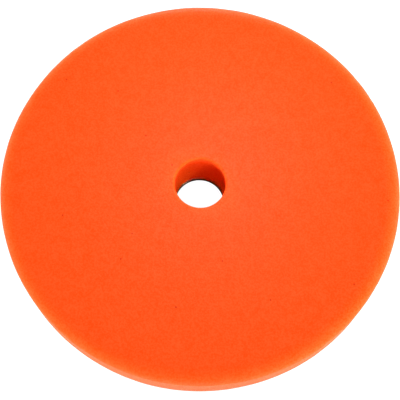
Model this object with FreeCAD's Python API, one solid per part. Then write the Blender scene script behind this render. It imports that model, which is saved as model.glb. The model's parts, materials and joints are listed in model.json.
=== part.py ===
"""A round foam polishing pad for a dual-action car polisher, lying with its polishing face up.

Millimetres, +Z up. The origin is the centre of the loop face, the flat underside that grips the
polisher's hook plate. The pad is four bonded layers. Each one is a ring turned about Z, and they are
stacked from the loop face up: loop pile, ground fabric, adhesive film, foam disc.
"""

import FreeCAD
import Part

import math
import os

# Driving dimensions
FACE_DIAMETER = 160.0
PLATE_DIAMETER = 150.0
PAD_THICKNESS = 25.0
BORE_DIAMETER = 20.4

# Layers under the foam
PILE_HEIGHT = 1.8
GROUND_THICKNESS = 0.5
ADHESIVE_THICKNESS = 0.2

# Edges
RIM_ROUNDING = 3.0
SHOULDER_ROUNDING = 1.0
BORE_LIP_ROUNDING = 0.8
PILE_EDGE_ROUNDING = 0.6

# Worked out from the dimensions above
FACE_RADIUS = FACE_DIAMETER / 2
PLATE_RADIUS = PLATE_DIAMETER / 2
BORE_RADIUS = BORE_DIAMETER / 2
GROUND_BOTTOM = PILE_HEIGHT
ADHESIVE_BOTTOM = GROUND_BOTTOM + GROUND_THICKNESS
FOAM_BOTTOM = ADHESIVE_BOTTOM + ADHESIVE_THICKNESS
BEVEL_HEIGHT = FACE_RADIUS - PLATE_RADIUS
WALL_BOTTOM = FOAM_BOTTOM + BEVEL_HEIGHT

AXIS_POINT = FreeCAD.Vector(0, 0, 0)
AXIS_DIRECTION = FreeCAD.Vector(0, 0, 1)
FULL_TURN = 360


def corner_edge(before, corner, after, rounding):
    """The arc of that radius that rounds a corner, as its two ends and its edge."""
    towards_before = (before - corner).normalize()
    towards_after = (after - corner).normalize()
    half_angle = towards_before.getAngle(towards_after) / 2
    reach = rounding / math.tan(half_angle)
    start = corner + towards_before * reach
    end = corner + towards_after * reach
    inwards = (towards_before + towards_after).normalize()
    middle = corner + inwards * (rounding / math.sin(half_angle) - rounding)
    return start, end, Part.Arc(start, middle, end).toShape()


def turned_ring(outline):
    """A solid ring turned about Z from (radius, height, rounding) corners."""
    corners = [FreeCAD.Vector(radius, 0, height) for radius, height, rounding in outline]
    roundings = [rounding for radius, height, rounding in outline]
    stretches = []
    for index, corner in enumerate(corners):
        before = corners[index - 1]
        after = corners[(index + 1) % len(corners)]
        if roundings[index]:
            stretches.append(corner_edge(before, corner, after, roundings[index]))
        else:
            stretches.append((corner, corner, None))
    edges = []
    for index, (start, end, arc) in enumerate(stretches):
        if arc:
            edges.append(arc)
        next_start = stretches[(index + 1) % len(stretches)][0]
        edges.append(Part.LineSegment(end, next_start).toShape())
    face = Part.Face(Part.Wire(edges))
    return face.revolve(AXIS_POINT, AXIS_DIRECTION, FULL_TURN)


def flat_ring(bottom, thickness):
    """A plain layer as wide as the hook plate, with the bore through it."""
    return turned_ring([
        (BORE_RADIUS, bottom, 0),
        (PLATE_RADIUS, bottom, 0),
        (PLATE_RADIUS, bottom + thickness, 0),
        (BORE_RADIUS, bottom + thickness, 0),
    ])


def foam_disc():
    """The foam: a straight wall under a rounded rim, bevelled in to the hook plate's size at its back."""
    return turned_ring([
        (BORE_RADIUS, FOAM_BOTTOM, 0),
        (PLATE_RADIUS, FOAM_BOTTOM, 0),
        (FACE_RADIUS, WALL_BOTTOM, SHOULDER_ROUNDING),
        (FACE_RADIUS, PAD_THICKNESS, RIM_ROUNDING),
        (BORE_RADIUS, PAD_THICKNESS, BORE_LIP_ROUNDING),
    ])


def loop_pile():
    """The space that the loops fill. They splay at the outer edge, which rounds the layer there."""
    return turned_ring([
        (BORE_RADIUS, 0, 0),
        (PLATE_RADIUS, 0, PILE_EDGE_ROUNDING),
        (PLATE_RADIUS, PILE_HEIGHT, 0),
        (BORE_RADIUS, PILE_HEIGHT, 0),
    ])


def main():
    parts = {
        "foam_disc": foam_disc(),
        "adhesive_film": flat_ring(ADHESIVE_BOTTOM, ADHESIVE_THICKNESS),
        "loop_ground_fabric": flat_ring(GROUND_BOTTOM, GROUND_THICKNESS),
        "loop_pile": loop_pile(),
    }
    os.makedirs("parts", exist_ok=True)
    for node, shape in parts.items():
        shape.exportStep(os.path.join("parts", node + ".step"))
        box = shape.optimalBoundingBox()
        print(
            node, shape.ShapeType, "valid", shape.isValid(), "volume", round(shape.Volume, 1),
            "z", round(box.ZMin, 3), "to", round(box.ZMax, 3), "radius", round(box.XMax, 3),
        )


main()
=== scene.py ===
"""A foam polishing pad lying face up on a white table. Metres, in the CAD model's frame."""

import json
import math
import random

import bpy
from mathutils import Matrix, Vector, noise


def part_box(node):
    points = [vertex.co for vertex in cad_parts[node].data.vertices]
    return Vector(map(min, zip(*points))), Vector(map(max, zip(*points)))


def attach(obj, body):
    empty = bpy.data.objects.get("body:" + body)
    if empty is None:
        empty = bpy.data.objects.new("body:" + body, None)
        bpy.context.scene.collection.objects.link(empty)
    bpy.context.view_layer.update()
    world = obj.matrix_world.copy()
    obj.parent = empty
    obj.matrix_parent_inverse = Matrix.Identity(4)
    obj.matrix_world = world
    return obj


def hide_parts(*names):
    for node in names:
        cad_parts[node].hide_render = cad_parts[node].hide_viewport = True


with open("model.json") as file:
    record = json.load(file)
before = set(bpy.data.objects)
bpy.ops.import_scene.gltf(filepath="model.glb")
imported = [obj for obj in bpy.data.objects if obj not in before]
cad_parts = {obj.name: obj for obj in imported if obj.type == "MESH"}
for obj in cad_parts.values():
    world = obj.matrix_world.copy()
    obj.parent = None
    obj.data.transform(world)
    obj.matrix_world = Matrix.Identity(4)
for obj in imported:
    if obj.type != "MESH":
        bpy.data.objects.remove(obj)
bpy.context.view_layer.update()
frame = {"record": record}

MM = 0.001
BODY = "root"
UP = Vector((0, 0, 1))
BLACK = (0, 0, 0, 1)
WHITE = (1, 1, 1, 1)


# ---------------------------------------------------------------- sizes, read from the frame

FOAM_LOW, FOAM_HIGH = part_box("foam_disc")
FILM_LOW, FILM_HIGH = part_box("adhesive_film")
GROUND_LOW, GROUND_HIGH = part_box("loop_ground_fabric")
PILE_LOW, PILE_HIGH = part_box("loop_pile")
FACE_RADIUS = FOAM_HIGH.x
FACE_HEIGHT = FOAM_HIGH.z
FOAM_BOTTOM = FOAM_LOW.z
PLATE_RADIUS = PILE_HIGH.x
BORE_MOUNT = next(mount for mount in frame["record"]["mounts"] if mount["name"] == "centre_bore")
BORE_RADIUS = BORE_MOUNT["dims"]["r_mm"] * MM

# The foam's edges: the rounded rim of the face, the lip of the bore, and the bevel under the side wall
RIM_REACH = 6.8 * MM
RIM_DROP = 3.7 * MM
LIP_ROUNDING = 0.8 * MM
SHOULDER_ROUNDING = 1.0 * MM
BEVEL = FACE_RADIUS - PLATE_RADIUS
BEVEL_ANGLE = 45
WALL_TOP = FACE_HEIGHT - RIM_DROP
WALL_BOTTOM = FOAM_BOTTOM + BEVEL


# ---------------------------------------------------------------- shapes

def link(obj):
    """Adds an object to the scene."""
    bpy.context.scene.collection.objects.link(obj)
    return obj


def mesh_object(name, points, faces, material, smooth=True):
    """A mesh object from lists of points and faces, with one material."""
    mesh = bpy.data.meshes.new(name)
    mesh.from_pydata(points, [], faces)
    mesh.update()
    mesh.polygons.foreach_set("use_smooth", [smooth] * len(mesh.polygons))
    mesh.materials.append(material)
    return link(bpy.data.objects.new(name, mesh))


def joined(name, *objects):
    """One object with all the objects' points and faces, in place of them."""
    points, faces = [], []
    for obj in objects:
        start = len(points)
        points += [vertex.co.copy() for vertex in obj.data.vertices]
        faces += [tuple(start + i for i in polygon.vertices) for polygon in obj.data.polygons]
    whole = mesh_object(name, points, faces, objects[0].data.materials[0])
    for obj in objects:
        bpy.data.objects.remove(obj)
    return whole


def direction(azimuth, elevation):
    """A unit vector from angles in degrees; azimuth 0 is +X and 90 is +Y."""
    turn, tilt = math.radians(azimuth), math.radians(elevation)
    return Vector((math.cos(tilt) * math.cos(turn), math.cos(tilt) * math.sin(turn), math.sin(tilt)))


def arc(centre, reach, rise, start, end, steps):
    """Points along an ellipse of half width reach and half height rise, from the angle start to end."""
    points = []
    for step in range(steps + 1):
        angle = math.radians(start + (end - start) * step / steps)
        points.append((centre[0] + reach * math.cos(angle), centre[1] + rise * math.sin(angle)))
    return points


def resample(path, spacing):
    """The path's points, with more between them so that none are further apart than spacing."""
    points = [path[0]]
    for start, end in zip(path, path[1:]):
        steps = max(1, math.ceil(math.dist(start, end) / spacing))
        for step in range(1, steps + 1):
            share = step / steps
            points.append(tuple(a + (b - a) * share for a, b in zip(start, end)))
    return points


def waves(point, bands):
    """The sum at a point of several noises, each given by its size, its height and a start of its own."""
    return sum(noise.noise(point / size + Vector(start)) * height for size, height, start in bands)


def stitch(faces, ring_a, ring_b):
    """Adds triangles between two closed rings of points that turn the same way, whatever their counts."""
    count_a, count_b = len(ring_a), len(ring_b)
    a = b = 0
    while a < count_a or b < count_b:
        a_now, b_now = ring_a[a % count_a], ring_b[b % count_b]
        if b >= count_b or (a < count_a and (a + 1) / count_a <= (b + 1) / count_b):
            faces.append((b_now, ring_a[(a + 1) % count_a], a_now))
            a += 1
        else:
            faces.append((b_now, ring_b[(b + 1) % count_b], a_now))
            b += 1


# How far a turned mesh's points stray round and along its surface, in edge lengths
STRAY_ROUND = 0.2
STRAY_ALONG = 0.12


def turned_mesh(name, profile, edges, proud, material):
    """A closed ring-shaped mesh about Z.

    Its profile of (radius, height) points runs up the bore, out over the top, down the side and back
    below. The edges are the triangle sizes along it, and proud gives the relief at a point. The points
    stray a little so that no rows show, apart from the profile's two ends.
    """
    points, rings = [], []
    last = len(profile) - 1
    for index, ((radius, height), edge) in enumerate(zip(profile, edges)):
        count = round(2 * math.pi * radius / edge)
        before = profile[max(index - 1, 0)]
        after = profile[min(index + 1, last)]
        along = Vector((after[0] - before[0], after[1] - before[1])).normalized()
        loose = 1 if 0 < index < last else 0
        turn = random.random()
        ring = []
        for step in range(count):
            wobble = random.uniform(-STRAY_ROUND, STRAY_ROUND) * loose
            slide = random.uniform(-STRAY_ALONG, STRAY_ALONG) * edge * loose
            angle = 2 * math.pi * (step + turn + wobble) / count
            side = Vector((math.cos(angle), math.sin(angle), 0))
            nominal = side * (radius + along.x * slide) + UP * (height + along.y * slide)
            outwards = side * -along.y + UP * along.x
            ring.append(len(points))
            points.append(nominal + outwards * proud(nominal) * loose)
        rings.append(ring)
    faces = []
    for ring_a, ring_b in zip(rings, rings[1:] + rings[:1]):
        stitch(faces, ring_a, ring_b)
    return mesh_object(name, points, faces, material)


# ---------------------------------------------------------------- materials

class Nodes:
    """A material's node tree, built by short calls."""

    def __init__(self, name):
        self.material = bpy.data.materials.new(name)
        self.material.use_nodes = True
        self.tree = self.material.node_tree
        self.tree.nodes.clear()
        output = self.add("ShaderNodeOutputMaterial")
        self.shader = self.add("ShaderNodeBsdfPrincipled")
        self.join(self.shader.outputs[0], output.inputs["Surface"])
        self.place = self.add("ShaderNodeTexCoord").outputs["Object"]

    def add(self, kind, **settings):
        """A new node of a kind, with its settings."""
        node = self.tree.nodes.new(kind)
        for key, value in settings.items():
            setattr(node, key, value)
        return node

    def join(self, source, target):
        self.tree.links.new(source, target)

    def feed(self, target, value):
        """Joins a socket to an input, or sets the input to a plain value."""
        if isinstance(value, bpy.types.NodeSocket):
            self.join(value, target)
        else:
            target.default_value = value

    def texture(self, kind, size, output):
        """A texture whose features are about size metres across."""
        node = self.add(kind)
        self.join(self.place, node.inputs["Vector"])
        node.inputs["Scale"].default_value = 1 / size
        return node.outputs[output]

    def noise(self, size):
        """Soft noise from 0 to 1."""
        return self.texture("ShaderNodeTexNoise", size, "Fac")

    def cells(self, size):
        """Distance from the middles of scattered cells, in cell widths."""
        return self.texture("ShaderNodeTexVoronoi", size, "Distance")

    def height(self):
        """The height above the loop face."""
        node = self.add("ShaderNodeSeparateXYZ")
        self.join(self.place, node.inputs[0])
        return node.outputs["Z"]

    def math(self, operation, a, b, c=0.0):
        node = self.add("ShaderNodeMath", operation=operation)
        for target, value in zip(node.inputs, (a, b, c)):
            self.feed(target, value)
        return node.outputs[0]

    def ramp(self, value, low, high, to_low=0.0, to_high=1.0):
        """Maps low..high to to_low..to_high, smoothly and clamped."""
        node = self.add("ShaderNodeMapRange", interpolation_type="SMOOTHSTEP")
        for key, number in (("Value", value), ("From Min", low), ("From Max", high),
                            ("To Min", to_low), ("To Max", to_high)):
            self.feed(node.inputs[key], number)
        return node.outputs["Result"]

    def mix(self, share, a, b):
        """Colour a, or colour b where share is 1. Sockets go by number, as several share a name."""
        node = self.add("ShaderNodeMix", data_type="RGBA")
        for socket, value in ((0, share), (6, a), (7, b)):
            self.feed(node.inputs[socket], value)
        return node.outputs[2]

    def bump(self, height, distance, strength):
        """A bump whose full height is distance metres."""
        node = self.add("ShaderNodeBump")
        node.inputs["Strength"].default_value = strength
        node.inputs["Distance"].default_value = distance
        self.join(height, node.inputs["Height"])
        return node.outputs["Normal"]

    def set(self, **values):
        """Sets or joins inputs of the Principled shader, named with _ for a space."""
        for key, value in values.items():
            self.feed(self.shader.inputs[key.replace("_", " ")], value)


FOAM_COLOUR = (0.98, 0.0915, 0.0145, 1)
# Painted shade: the pore mouths' colour, darker and redder than the struts, stands in for the shade inside
# the cells
PORE_SHADE_COLOUR = (0.90, 0.0555, 0.0008, 1)
# Painted shade: the pits' dark colour stands in for the shade inside them
PIT_SHADE_COLOUR = (0.60, 0.022, 0.0010, 1)
CELL_SIZE = 0.45 * MM
CLUMP_SIZE = 0.75 * MM
MOTTLE_SIZE = 5 * MM

# Small pits painted dark, as painted shade with no relief of their own; the size of a pit and of its core is
# in spacings
PIT_SPACING = 9 * MM
PIT_SIZE = 0.055
PIT_CORE = 0.6 * PIT_SIZE
PIT_STRENGTH = 0.8

# The face's relief and gloss, and the roughness that the walls of the rim and the bore add below WALL_TOP
PORE_RELIEF = 0.05 * MM
RELIEF_STRENGTH = 0.5
FOAM_SPECULAR = 0.125
FACE_ROUGHNESS = (0.38, 0.46)
WALL_ROUGHNESS = 0.14
WALL_BLEND = 0.5 * MM

# Where each pattern starts and is full, and how much it counts in the colour, which is the pore mouths'
# painted shade, and in the relief
PORE_MOUTH = (0.15, 0.55)
CLUMP_RANGE = (0.36, 0.64)
MOTTLE_RANGE = (0.3, 0.7)
PORE_SHARE, EVEN_SHARE = 0.6, 0.25
CLUMP_SHARE, MOTTLE_SHARE = 0.85, 0.25
CLUMP_DEPTH, PORE_DEPTH = -0.6, -1.0


def foam_material():
    """Fine open-cell foam: pore mouths painted darker than the lighter struts, as painted shade in the
    cells, mottled where the cells run denser; small pits are painted dark, as painted shade.

    The walls of the rim and the bore are a little rougher than the face.
    """
    nodes = Nodes("open_cell_foam")
    pores = nodes.ramp(nodes.cells(CELL_SIZE), *PORE_MOUTH)
    clumps = nodes.ramp(nodes.noise(CLUMP_SIZE), *CLUMP_RANGE)
    mottle = nodes.ramp(nodes.noise(MOTTLE_SIZE), *MOTTLE_RANGE)
    openness = nodes.math("MULTIPLY_ADD", clumps, CLUMP_SHARE, nodes.math("MULTIPLY", mottle, MOTTLE_SHARE))
    share = nodes.math("MULTIPLY", nodes.math("MULTIPLY_ADD", pores, PORE_SHARE, EVEN_SHARE), openness)
    pit_shade = nodes.ramp(nodes.cells(PIT_SPACING), PIT_SIZE, PIT_CORE, 0.0, PIT_STRENGTH)
    relief = nodes.math("MULTIPLY_ADD", clumps, CLUMP_DEPTH, nodes.math("MULTIPLY", pores, PORE_DEPTH))
    wall = nodes.ramp(nodes.height(), WALL_TOP - WALL_BLEND, WALL_TOP + WALL_BLEND, WALL_ROUGHNESS, 0.0)
    nodes.set(
        # The base colour carries painted shade in the pore mouths and in the pits
        Base_Color=nodes.mix(pit_shade, nodes.mix(share, FOAM_COLOUR, PORE_SHADE_COLOUR), PIT_SHADE_COLOUR),
        Roughness=nodes.math("ADD", nodes.ramp(clumps, 0, 1, *FACE_ROUGHNESS), wall),
        Normal=nodes.bump(relief, PORE_RELIEF, RELIEF_STRENGTH),
        Specular_IOR_Level=FOAM_SPECULAR,
    )
    return nodes.material


# The layers under the foam: the size of their mottling, their darkest and lightest colour, and their
# least and greatest roughness
YARN_GRAIN = 0.25 * MM
YARN_COLOURS = (0.004, 0.004, 0.005, 1), (0.022, 0.022, 0.024, 1)
YARN_ROUGHNESS = (0.45, 0.7)
KNIT_GRAIN = 0.5 * MM
KNIT_COLOURS = (0.006, 0.006, 0.007, 1), (0.02, 0.02, 0.021, 1)
KNIT_ROUGHNESS = (0.6, 0.85)
FILM_CLOUD = 3 * MM
FILM_COLOURS = (0.50, 0.44, 0.34, 1), (0.66, 0.60, 0.50, 1)
FILM_ROUGHNESS = (0.3, 0.5)
ROUGHNESS_RANGE = (0.2, 0.8)


def mottled(name, grain, dark, light, roughness):
    """Nodes of a material that wanders between two colours and two roughnesses, over grain metres."""
    nodes = Nodes(name)
    share = nodes.noise(grain)
    nodes.set(
        Base_Color=nodes.mix(share, dark, light),
        Roughness=nodes.ramp(share, *ROUGHNESS_RANGE, *roughness),
    )
    return nodes


def yarn_material():
    """Black nylon loop yarn, with the faint sheen of its fibres."""
    nodes = mottled("black_loop_yarn", YARN_GRAIN, *YARN_COLOURS, YARN_ROUGHNESS)
    nodes.set(Sheen_Weight=0.06, Sheen_Roughness=0.4, Specular_IOR_Level=0.3)
    return nodes.material


def ground_material():
    """The black knitted ground of the loop fabric."""
    return mottled("black_knit_ground", KNIT_GRAIN, *KNIT_COLOURS, KNIT_ROUGHNESS).material


def film_material():
    """Milky hot-melt film."""
    return mottled("hot_melt_film", FILM_CLOUD, *FILM_COLOURS, FILM_ROUGHNESS).material


# ---------------------------------------------------------------- the foam

# The triangles' sides, and the rows' spacing that makes them even
FOAM_EDGE = 0.66 * MM
FOAM_ROW = FOAM_EDGE * math.sin(math.radians(60))
FOAM_SEED = 11
LIP_STEPS = 4
RIM_STEPS = 14
SHOULDER_STEPS = 2

# A long swell, dimples and grain
FOAM_WAVES = (
    (34 * MM, 0.12 * MM, (0, 0, 0)),
    (6 * MM, 0.045 * MM, (9, 4, 2)),
    (1.4 * MM, 0.025 * MM, (3, 7, 5)),
)


def foam_profile():
    """(radius, height) points from the bore's foot, over the face and down to the plate's edge."""
    lip_centre = (BORE_RADIUS + LIP_ROUNDING, FACE_HEIGHT - LIP_ROUNDING)
    rim_centre = (FACE_RADIUS - RIM_REACH, FACE_HEIGHT - RIM_DROP)
    shoulder_reach = SHOULDER_ROUNDING * math.tan(math.radians(BEVEL_ANGLE / 2))
    shoulder_centre = (FACE_RADIUS - SHOULDER_ROUNDING, WALL_BOTTOM + shoulder_reach)
    path = [(BORE_RADIUS, FOAM_BOTTOM)]
    path += arc(lip_centre, LIP_ROUNDING, LIP_ROUNDING, 180, 90, LIP_STEPS)
    path += arc(rim_centre, RIM_REACH, RIM_DROP, 90, 0, RIM_STEPS)
    path += arc(shoulder_centre, SHOULDER_ROUNDING, SHOULDER_ROUNDING, 0, -BEVEL_ANGLE, SHOULDER_STEPS)
    path += [(PLATE_RADIUS, FOAM_BOTTOM)]
    return resample(path, FOAM_ROW)


def foam_relief(point):
    """How far the cut foam stands proud of its nominal surface at a point."""
    return waves(point, FOAM_WAVES)


def foam_piece():
    """The foam disc, turned in one piece with its bore."""
    random.seed(FOAM_SEED)
    profile = foam_profile()
    edges = [FOAM_EDGE] * len(profile)
    return turned_mesh("polishing_foam", profile, edges, foam_relief, foam_material())


foam = foam_piece()
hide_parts("foam_disc")
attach(foam, BODY)


# ---------------------------------------------------------------- layers under the foam

HOLE_EDGE = 0.5 * MM
HOLE_SHIFT = Vector((-0.2, -0.62, 0)) * MM
HOLE_SHIFT_REACH = 3 * MM


def layer_profile(bottom, top, fine, coarse, outer=PLATE_RADIUS):
    """The profile of a flat ring, and its triangle sizes: fine below and at the side, coarse on top."""
    hole = [(BORE_RADIUS, bottom), (BORE_RADIUS, top)]
    over = resample([(BORE_RADIUS, top), (outer, top)], coarse)[1:-1]
    rim = [(outer, top)]
    under = resample([(outer, bottom), (BORE_RADIUS + fine / 2, bottom)], fine)
    edges = [HOLE_EDGE] * len(hole) + [coarse] * len(over) + [fine] * len(rim + under)
    return hole + over + rim + under, edges


def shift_hole(obj):
    """Moves a backing layer's hole off the bore's centre, as the layers are cut and glued by hand."""
    for vertex in obj.data.vertices:
        reach = (vertex.co.xy.length - BORE_RADIUS) / HOLE_SHIFT_REACH
        vertex.co += HOLE_SHIFT * min(max(1 - reach, 0), 1)


FILM_SEED = 21
FILM_EDGE = 1.2 * MM
BEAD_WIDTH = 0.5 * MM
BEAD_WAVES = ((2.5 * MM, 0.14 * MM, (0, 0, 0)),)


def film_piece():
    """Hot-melt film, squeezed a little unevenly out of the joint."""
    random.seed(FILM_SEED)
    profile, edges = layer_profile(FILM_LOW.z, FILM_HIGH.z, FILM_EDGE, FILM_EDGE)

    def squeeze(point):
        return waves(point, BEAD_WAVES) if point.xy.length > PLATE_RADIUS - BEAD_WIDTH else 0

    return turned_mesh("bond_film", profile, edges, squeeze, film_material())


GROUND_SEED = 22
GROUND_EDGE, GROUND_TOP_EDGE = 0.8 * MM, 4 * MM
KNIT_WALE = 1.9 * MM
KNIT_COURSE = 1.5 * MM
WALE_HEIGHT = 0.06 * MM
COURSE_HEIGHT = 0.05 * MM
STITCH_BEND = 0.3


def knit_relief(point):
    """Rows of knitted stitches, as a height over the ground's flat underside."""
    if point.z > (GROUND_LOW.z + GROUND_HIGH.z) / 2:
        return 0
    wale = math.cos(2 * math.pi * point.x / KNIT_WALE)
    course = math.cos(2 * math.pi * (point.y / KNIT_COURSE + STITCH_BEND * abs(wale)))
    return WALE_HEIGHT * wale + COURSE_HEIGHT * course


def ground_piece():
    """The knitted ground of the loop fabric."""
    random.seed(GROUND_SEED)
    profile, edges = layer_profile(GROUND_LOW.z, GROUND_HIGH.z, GROUND_EDGE, GROUND_TOP_EDGE)
    return turned_mesh("knit_ground", profile, edges, knit_relief, ground_material())


MAT_EDGE, MAT_TOP_EDGE = 1.0 * MM, 5 * MM
MAT_INSET = 0.5 * MM

# The share of the pile's height where only the loops' tips hang
TIP_SHARE = 0.55
MAT_BOTTOM = PILE_LOW.z + TIP_SHARE * (PILE_HIGH.z - PILE_LOW.z)

# How wide a band round the hole hangs lower, and how far at the hole
HEM_WIDTH = 2.5 * MM
HEM_DROP = 0.5 * MM

TANGLE_WAVES = (
    (2.6 * MM, 0.15 * MM, (0, 0, 0)),
    (0.9 * MM, 0.2 * MM, (5, 1, 8)),
)


def pile_mat():
    """The matted part of the pile, above the loose tips. It is pressed down a little round the hole."""
    middle = (MAT_BOTTOM + PILE_HIGH.z) / 2

    def tangle(point):
        return waves(point, TANGLE_WAVES) if point.z < middle else 0

    def hem(radius, height):
        near = max(1 - (radius - BORE_RADIUS) / HEM_WIDTH, 0)
        return radius, height - near * HEM_DROP if height < middle else height

    profile, edges = layer_profile(MAT_BOTTOM, PILE_HIGH.z, MAT_EDGE, MAT_TOP_EDGE, PLATE_RADIUS - MAT_INSET)
    profile = [hem(radius, height) for radius, height in profile]
    return turned_mesh("loop_mat", profile, edges, tangle, yarn_material())


YARN_RADIUS = 0.17 * MM
YARN_SIDES = 3
LOOP_STEPS = 4
LOOP_BULGE = 0.35
LOOP_ROUNDNESS = 0.8


def yarn_loop(points, faces, foot, turn, half_width, tip, lean):
    """Adds one loop of yarn, closed at both feet, that hangs from foot to the height tip."""
    across = Vector((math.cos(turn), math.sin(turn), 0))
    drop = foot.z - tip - YARN_RADIUS
    first = len(points)
    for step in range(LOOP_STEPS + 1):
        angle = math.pi * step / LOOP_STEPS
        hang = math.sin(angle)
        reach = math.cos(angle) * half_width * (1 + LOOP_BULGE * hang ** 2)
        middle = foot - across * reach + lean * hang
        middle.z = foot.z - drop * hang ** LOOP_ROUNDNESS
        along = across * hang - UP * math.cos(angle)
        side = along.cross(across.cross(UP)).normalized()
        flank = along.cross(side).normalized()
        for corner in range(YARN_SIDES):
            spin = 2 * math.pi * corner / YARN_SIDES
            points.append(middle + (side * math.cos(spin) + flank * math.sin(spin)) * YARN_RADIUS)
    end = first + LOOP_STEPS * YARN_SIDES
    for low in range(first, end, YARN_SIDES):
        high = low + YARN_SIDES
        for corner in range(YARN_SIDES):
            after = (corner + 1) % YARN_SIDES
            faces.append((low + corner, low + after, high + after, high + corner))
    faces.append(tuple(reversed(range(first, first + YARN_SIDES))))
    faces.append(tuple(range(end, end + YARN_SIDES)))


PILE_SEED = 23
PILE_INSET = 0.7 * MM
PILE_EDGE_WIDTH = 1.5 * MM
FOOT_DEPTH = 0.1 * MM
LEAN_ASIDE = 0.3 * MM
LEAN_BACK = 0.6 * MM
EDGE_SPLAY = (0.2 * MM, 0.6 * MM)
LOOP_HALF_WIDTH = (0.45 * MM, 0.8 * MM)
TIP_SPREAD = 0.35 * MM

# How far the loops' feet stray, in stitches, and how far the loops turn, in radians
FOOT_STRAY = 0.25
TURN_SPREAD = 0.5


def pile_piece():
    """Yarn loops in staggered knit rows over a matted base, splayed a little at the edge."""
    random.seed(PILE_SEED)
    mat = pile_mat()
    points, faces = [], []
    rows = math.ceil(PLATE_RADIUS / KNIT_COURSE)
    columns = math.ceil(PLATE_RADIUS / KNIT_WALE)
    inner, outer = BORE_RADIUS + PILE_INSET, PLATE_RADIUS - PILE_INSET
    for row in range(-rows, rows + 1):
        for column in range(-columns, columns + 1):
            x = (column + 0.5 * (row % 2) + random.uniform(-FOOT_STRAY, FOOT_STRAY)) * KNIT_WALE
            y = (row + random.uniform(-FOOT_STRAY, FOOT_STRAY)) * KNIT_COURSE
            radius = math.hypot(x, y)
            if not inner < radius < outer:
                continue
            foot = Vector((x, y, PILE_HIGH.z + FOOT_DEPTH))
            lean = Vector((random.uniform(-LEAN_ASIDE, LEAN_ASIDE), random.uniform(0, LEAN_BACK), 0))
            if radius > outer - PILE_EDGE_WIDTH:
                lean = foot.xy.normalized().to_3d() * random.uniform(*EDGE_SPLAY)
            turn = random.gauss(0.0, TURN_SPREAD)
            half_width = random.uniform(*LOOP_HALF_WIDTH)
            tip = PILE_LOW.z + random.uniform(0.0, TIP_SPREAD)
            yarn_loop(points, faces, foot, turn, half_width, tip, lean)
    loops = mesh_object("yarn_loops", points, faces, mat.data.materials[0])
    return joined("loop_tufts", mat, loops)


film = film_piece()
ground = ground_piece()
pile = pile_piece()
for layer in (film, ground, pile):
    shift_hole(layer)
for piece, node, slot in (
    (film, "adhesive_film", "hot_melt"),
    (ground, "loop_ground_fabric", "knit_ground"),
    (pile, "loop_pile", "loop_yarn"),
):
    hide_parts(node)
    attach(piece, BODY)


# ---------------------------------------------------------------- table

TABLE_SIZE = 6.0
TABLE_GLOW = 0.90
# The table's colour in the painted shadow under the pad, and its pale colour elsewhere
TABLE_PAINTED_SHADOW = (0.02, 0.02, 0.02, 1)
TABLE_PALE = (0.35, 0.35, 0.35, 1)
# The painted shadow under the pad fades out between these radii
SHADOW_START = PLATE_RADIUS - BEVEL
SHADOW_END = FACE_RADIUS + 1 * MM
FLOOR_GAP = 0.2 * MM
# The disc of painted light under the bore
LIT_DISC_RADIUS = 40 * MM
LIT_DISC_SIDES = 48


def table_material():
    """A white table that glows like a light box, with a painted shadow under the pad: dark there and without
    glow.
    """
    nodes = Nodes("table")
    distance = nodes.add("ShaderNodeVectorMath", operation="LENGTH")
    nodes.join(nodes.place, distance.inputs[0])
    outside_painted_shadow = nodes.ramp(distance.outputs["Value"], SHADOW_START, SHADOW_END)
    nodes.set(
        Base_Color=nodes.mix(outside_painted_shadow, TABLE_PAINTED_SHADOW, TABLE_PALE),
        Roughness=0.9,
        Specular_IOR_Level=0.1,
        Emission_Color=WHITE,
        Emission_Strength=nodes.math("MULTIPLY", outside_painted_shadow, TABLE_GLOW),
    )
    return nodes.material


def table_top():
    """The square table, just under the pad."""
    half = TABLE_SIZE / 2
    corners = [(x * half, y * half, -FLOOR_GAP) for x, y in ((-1, -1), (1, -1), (1, 1), (-1, 1))]
    return mesh_object("table_top", corners, [(0, 1, 2, 3)], table_material(), False)


def painted_light_disc():
    """A disc glowing white on the table under the bore, seen through the hole but lighting nothing: painted
    light where the pad's shade would fall.
    """
    nodes = Nodes("painted_light_disc")
    nodes.set(Base_Color=BLACK, Emission_Color=WHITE, Emission_Strength=1.0)
    last = 360 - 360 / LIT_DISC_SIDES
    rim = arc((0, 0), LIT_DISC_RADIUS, LIT_DISC_RADIUS, 0, last, LIT_DISC_SIDES - 1)
    corners = [(x, y, -FLOOR_GAP / 2) for x, y in rim]
    disc = mesh_object("painted_light_disc", corners, [tuple(range(LIT_DISC_SIDES))], nodes.material, False)
    for kind in ("diffuse", "glossy", "transmission", "volume_scatter", "shadow"):
        setattr(disc, "visible_" + kind, False)
    return disc


# ---------------------------------------------------------------- light

PAD_MIDDLE = Vector((0, 0, FACE_HEIGHT / 2))

# The band's strength, and the sines of the elevations where it starts to fade and is gone
HORIZON_LIGHT = 1.3
HORIZON_FADE = (0.2, 0.5)

# The key, from the middle of the face
KEY_PLACE = Vector((0, 0, FACE_HEIGHT)) + Vector((8, 50, 140)) * MM
KEY_SIZE = 50 * MM
KEY_WATTS = 0.094

# Low boxes all round, as name, azimuth and watts
LOW_BOX_SIZE = 0.2
LOW_BOX_DISTANCE = 0.55
LOW_BOX_ELEVATION = 7
LOW_BOXES = (("front_box", -90, 3.5), ("right_box", 0, 6.2), ("back_box", 90, 4.8), ("left_box", 180, 4.5))

# Front boxes that reach into the bore, as name, azimuth, elevation, watts and colour
BORE_BOX_SIZE = 0.5
BORE_BOX_DISTANCE = 1.5
BORE_BOXES = (("bore_box", -62, 42, 4.4, (1, 1, 1)), ("bore_box_red", -80, 60, 2.2, (1, 0, 0)))

# The lamp at the bore's foot
FOOT_SIZE = 1.5 * BORE_RADIUS
FOOT_WATTS = 0.00024
FOOT_COLOUR = (1, 1, 0)

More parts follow.
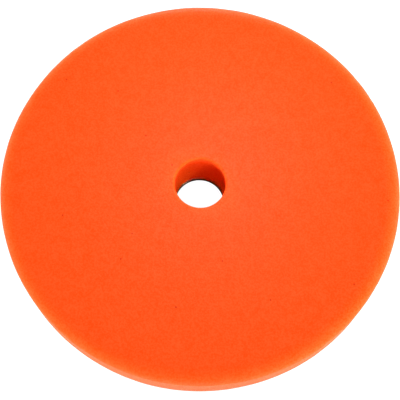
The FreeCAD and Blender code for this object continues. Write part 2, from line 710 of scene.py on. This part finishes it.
# The beam onto the bore's wall, and how far below the face it lands
SPOT_AZIMUTH = -34
SPOT_ELEVATION = 50
SPOT_DISTANCE = 0.6
SPOT_DEPTH = 12 * MM
SPOT_ANGLE = 1.9
SPOT_WATTS = 17.0
SPOT_COLOUR = (0.77, 1, 0.6)
SPOT_SOFTNESS = 10 * MM


def light_object(name, kind, watts, colour, mirrored=False):
    """A light that the camera doesn't see; the foam shows its reflection only if mirrored."""
    light = bpy.data.lights.new(name, kind)
    light.energy = watts
    light.color = colour
    lamp = link(bpy.data.objects.new(name, light))
    lamp.visible_camera = False
    lamp.visible_glossy = mirrored
    return lamp


def area_light(name, place, size, watts, colour=(1, 1, 1), mirrored=False):
    """A square soft box that points at the middle of the pad."""
    box = light_object(name, "AREA", watts, colour, mirrored)
    box.data.shape = "SQUARE"
    box.data.size = size
    box.location = place
    box.rotation_euler = (PAD_MIDDLE - place).to_track_quat("-Z", "Y").to_euler()


def bore_spot():
    """A narrow, faintly green beam through the bore's mouth onto the wall across from it."""
    wall = direction(SPOT_AZIMUTH + 180, 0) * BORE_RADIUS
    back = direction(SPOT_AZIMUTH, SPOT_ELEVATION)
    beam = light_object("bore_spot", "SPOT", SPOT_WATTS, SPOT_COLOUR)
    beam.data.spot_size = math.radians(SPOT_ANGLE)
    beam.data.spot_blend = 1.0
    beam.data.shadow_soft_size = SPOT_SOFTNESS
    beam.location = wall + UP * (FACE_HEIGHT - SPOT_DEPTH) + back * SPOT_DISTANCE
    beam.rotation_euler = back.to_track_quat("Z", "Y").to_euler()


def horizon_light():
    """A white band round the horizon that fades out above, and isn't mirrored in the foam."""
    world = bpy.data.worlds.new("studio")
    bpy.context.scene.world = world
    world.cycles_visibility.glossy = False
    world.use_nodes = True
    tree = world.node_tree
    sky = tree.nodes["Background"]
    sky.inputs["Color"].default_value = WHITE
    view = tree.nodes.new("ShaderNodeTexCoord")
    split = tree.nodes.new("ShaderNodeSeparateXYZ")
    fade = tree.nodes.new("ShaderNodeMapRange")
    full, none = HORIZON_FADE
    for key, number in (("From Min", full), ("From Max", none), ("To Min", HORIZON_LIGHT), ("To Max", 0)):
        fade.inputs[key].default_value = number
    tree.links.new(view.outputs["Generated"], split.inputs[0])
    tree.links.new(split.outputs["Z"], fade.inputs["Value"])
    tree.links.new(fade.outputs["Result"], sky.inputs["Strength"])


def studio_light():
    """A small key close above and behind, low boxes all round, and the bore's own lights."""
    horizon_light()
    area_light("key_box", KEY_PLACE, KEY_SIZE, KEY_WATTS, mirrored=True)
    for name, azimuth, watts in LOW_BOXES:
        place = PAD_MIDDLE + direction(azimuth, LOW_BOX_ELEVATION) * LOW_BOX_DISTANCE
        area_light(name, place, LOW_BOX_SIZE, watts)
    for name, azimuth, elevation, watts, colour in BORE_BOXES:
        place = PAD_MIDDLE + direction(azimuth, elevation) * BORE_BOX_DISTANCE
        area_light(name, place, BORE_BOX_SIZE, watts, colour)
    area_light("bore_foot", UP * FLOOR_GAP, FOOT_SIZE, FOOT_WATTS, FOOT_COLOUR)
    bore_spot()


# ---------------------------------------------------------------- camera

CAMERA_AZIMUTH = -90
CAMERA_ELEVATION = 71.85
CAMERA_ROLL = 1.15
CAMERA_DISTANCE = 0.3944
CAMERA_LENS = 89.72
CAMERA_CLIP = (0.01, 50)
AIM = Vector((0.04 * MM, -7.24 * MM, FACE_HEIGHT))


def camera():
    """A camera in front of the pad that looks steeply down at it."""
    data = bpy.data.cameras.new("camera")
    data.lens = CAMERA_LENS
    data.clip_start, data.clip_end = CAMERA_CLIP
    eye = link(bpy.data.objects.new("camera", data))
    back = direction(CAMERA_AZIMUTH, CAMERA_ELEVATION)
    eye.location = AIM + back * CAMERA_DISTANCE
    turn = back.to_track_quat("Z", "Y").to_matrix() @ Matrix.Rotation(math.radians(CAMERA_ROLL), 3, "Z")
    eye.rotation_euler = turn.to_euler()
    bpy.context.scene.camera = eye


table_top()
painted_light_disc()
studio_light()
camera()
bpy.context.scene.view_settings.view_transform = "Standard"
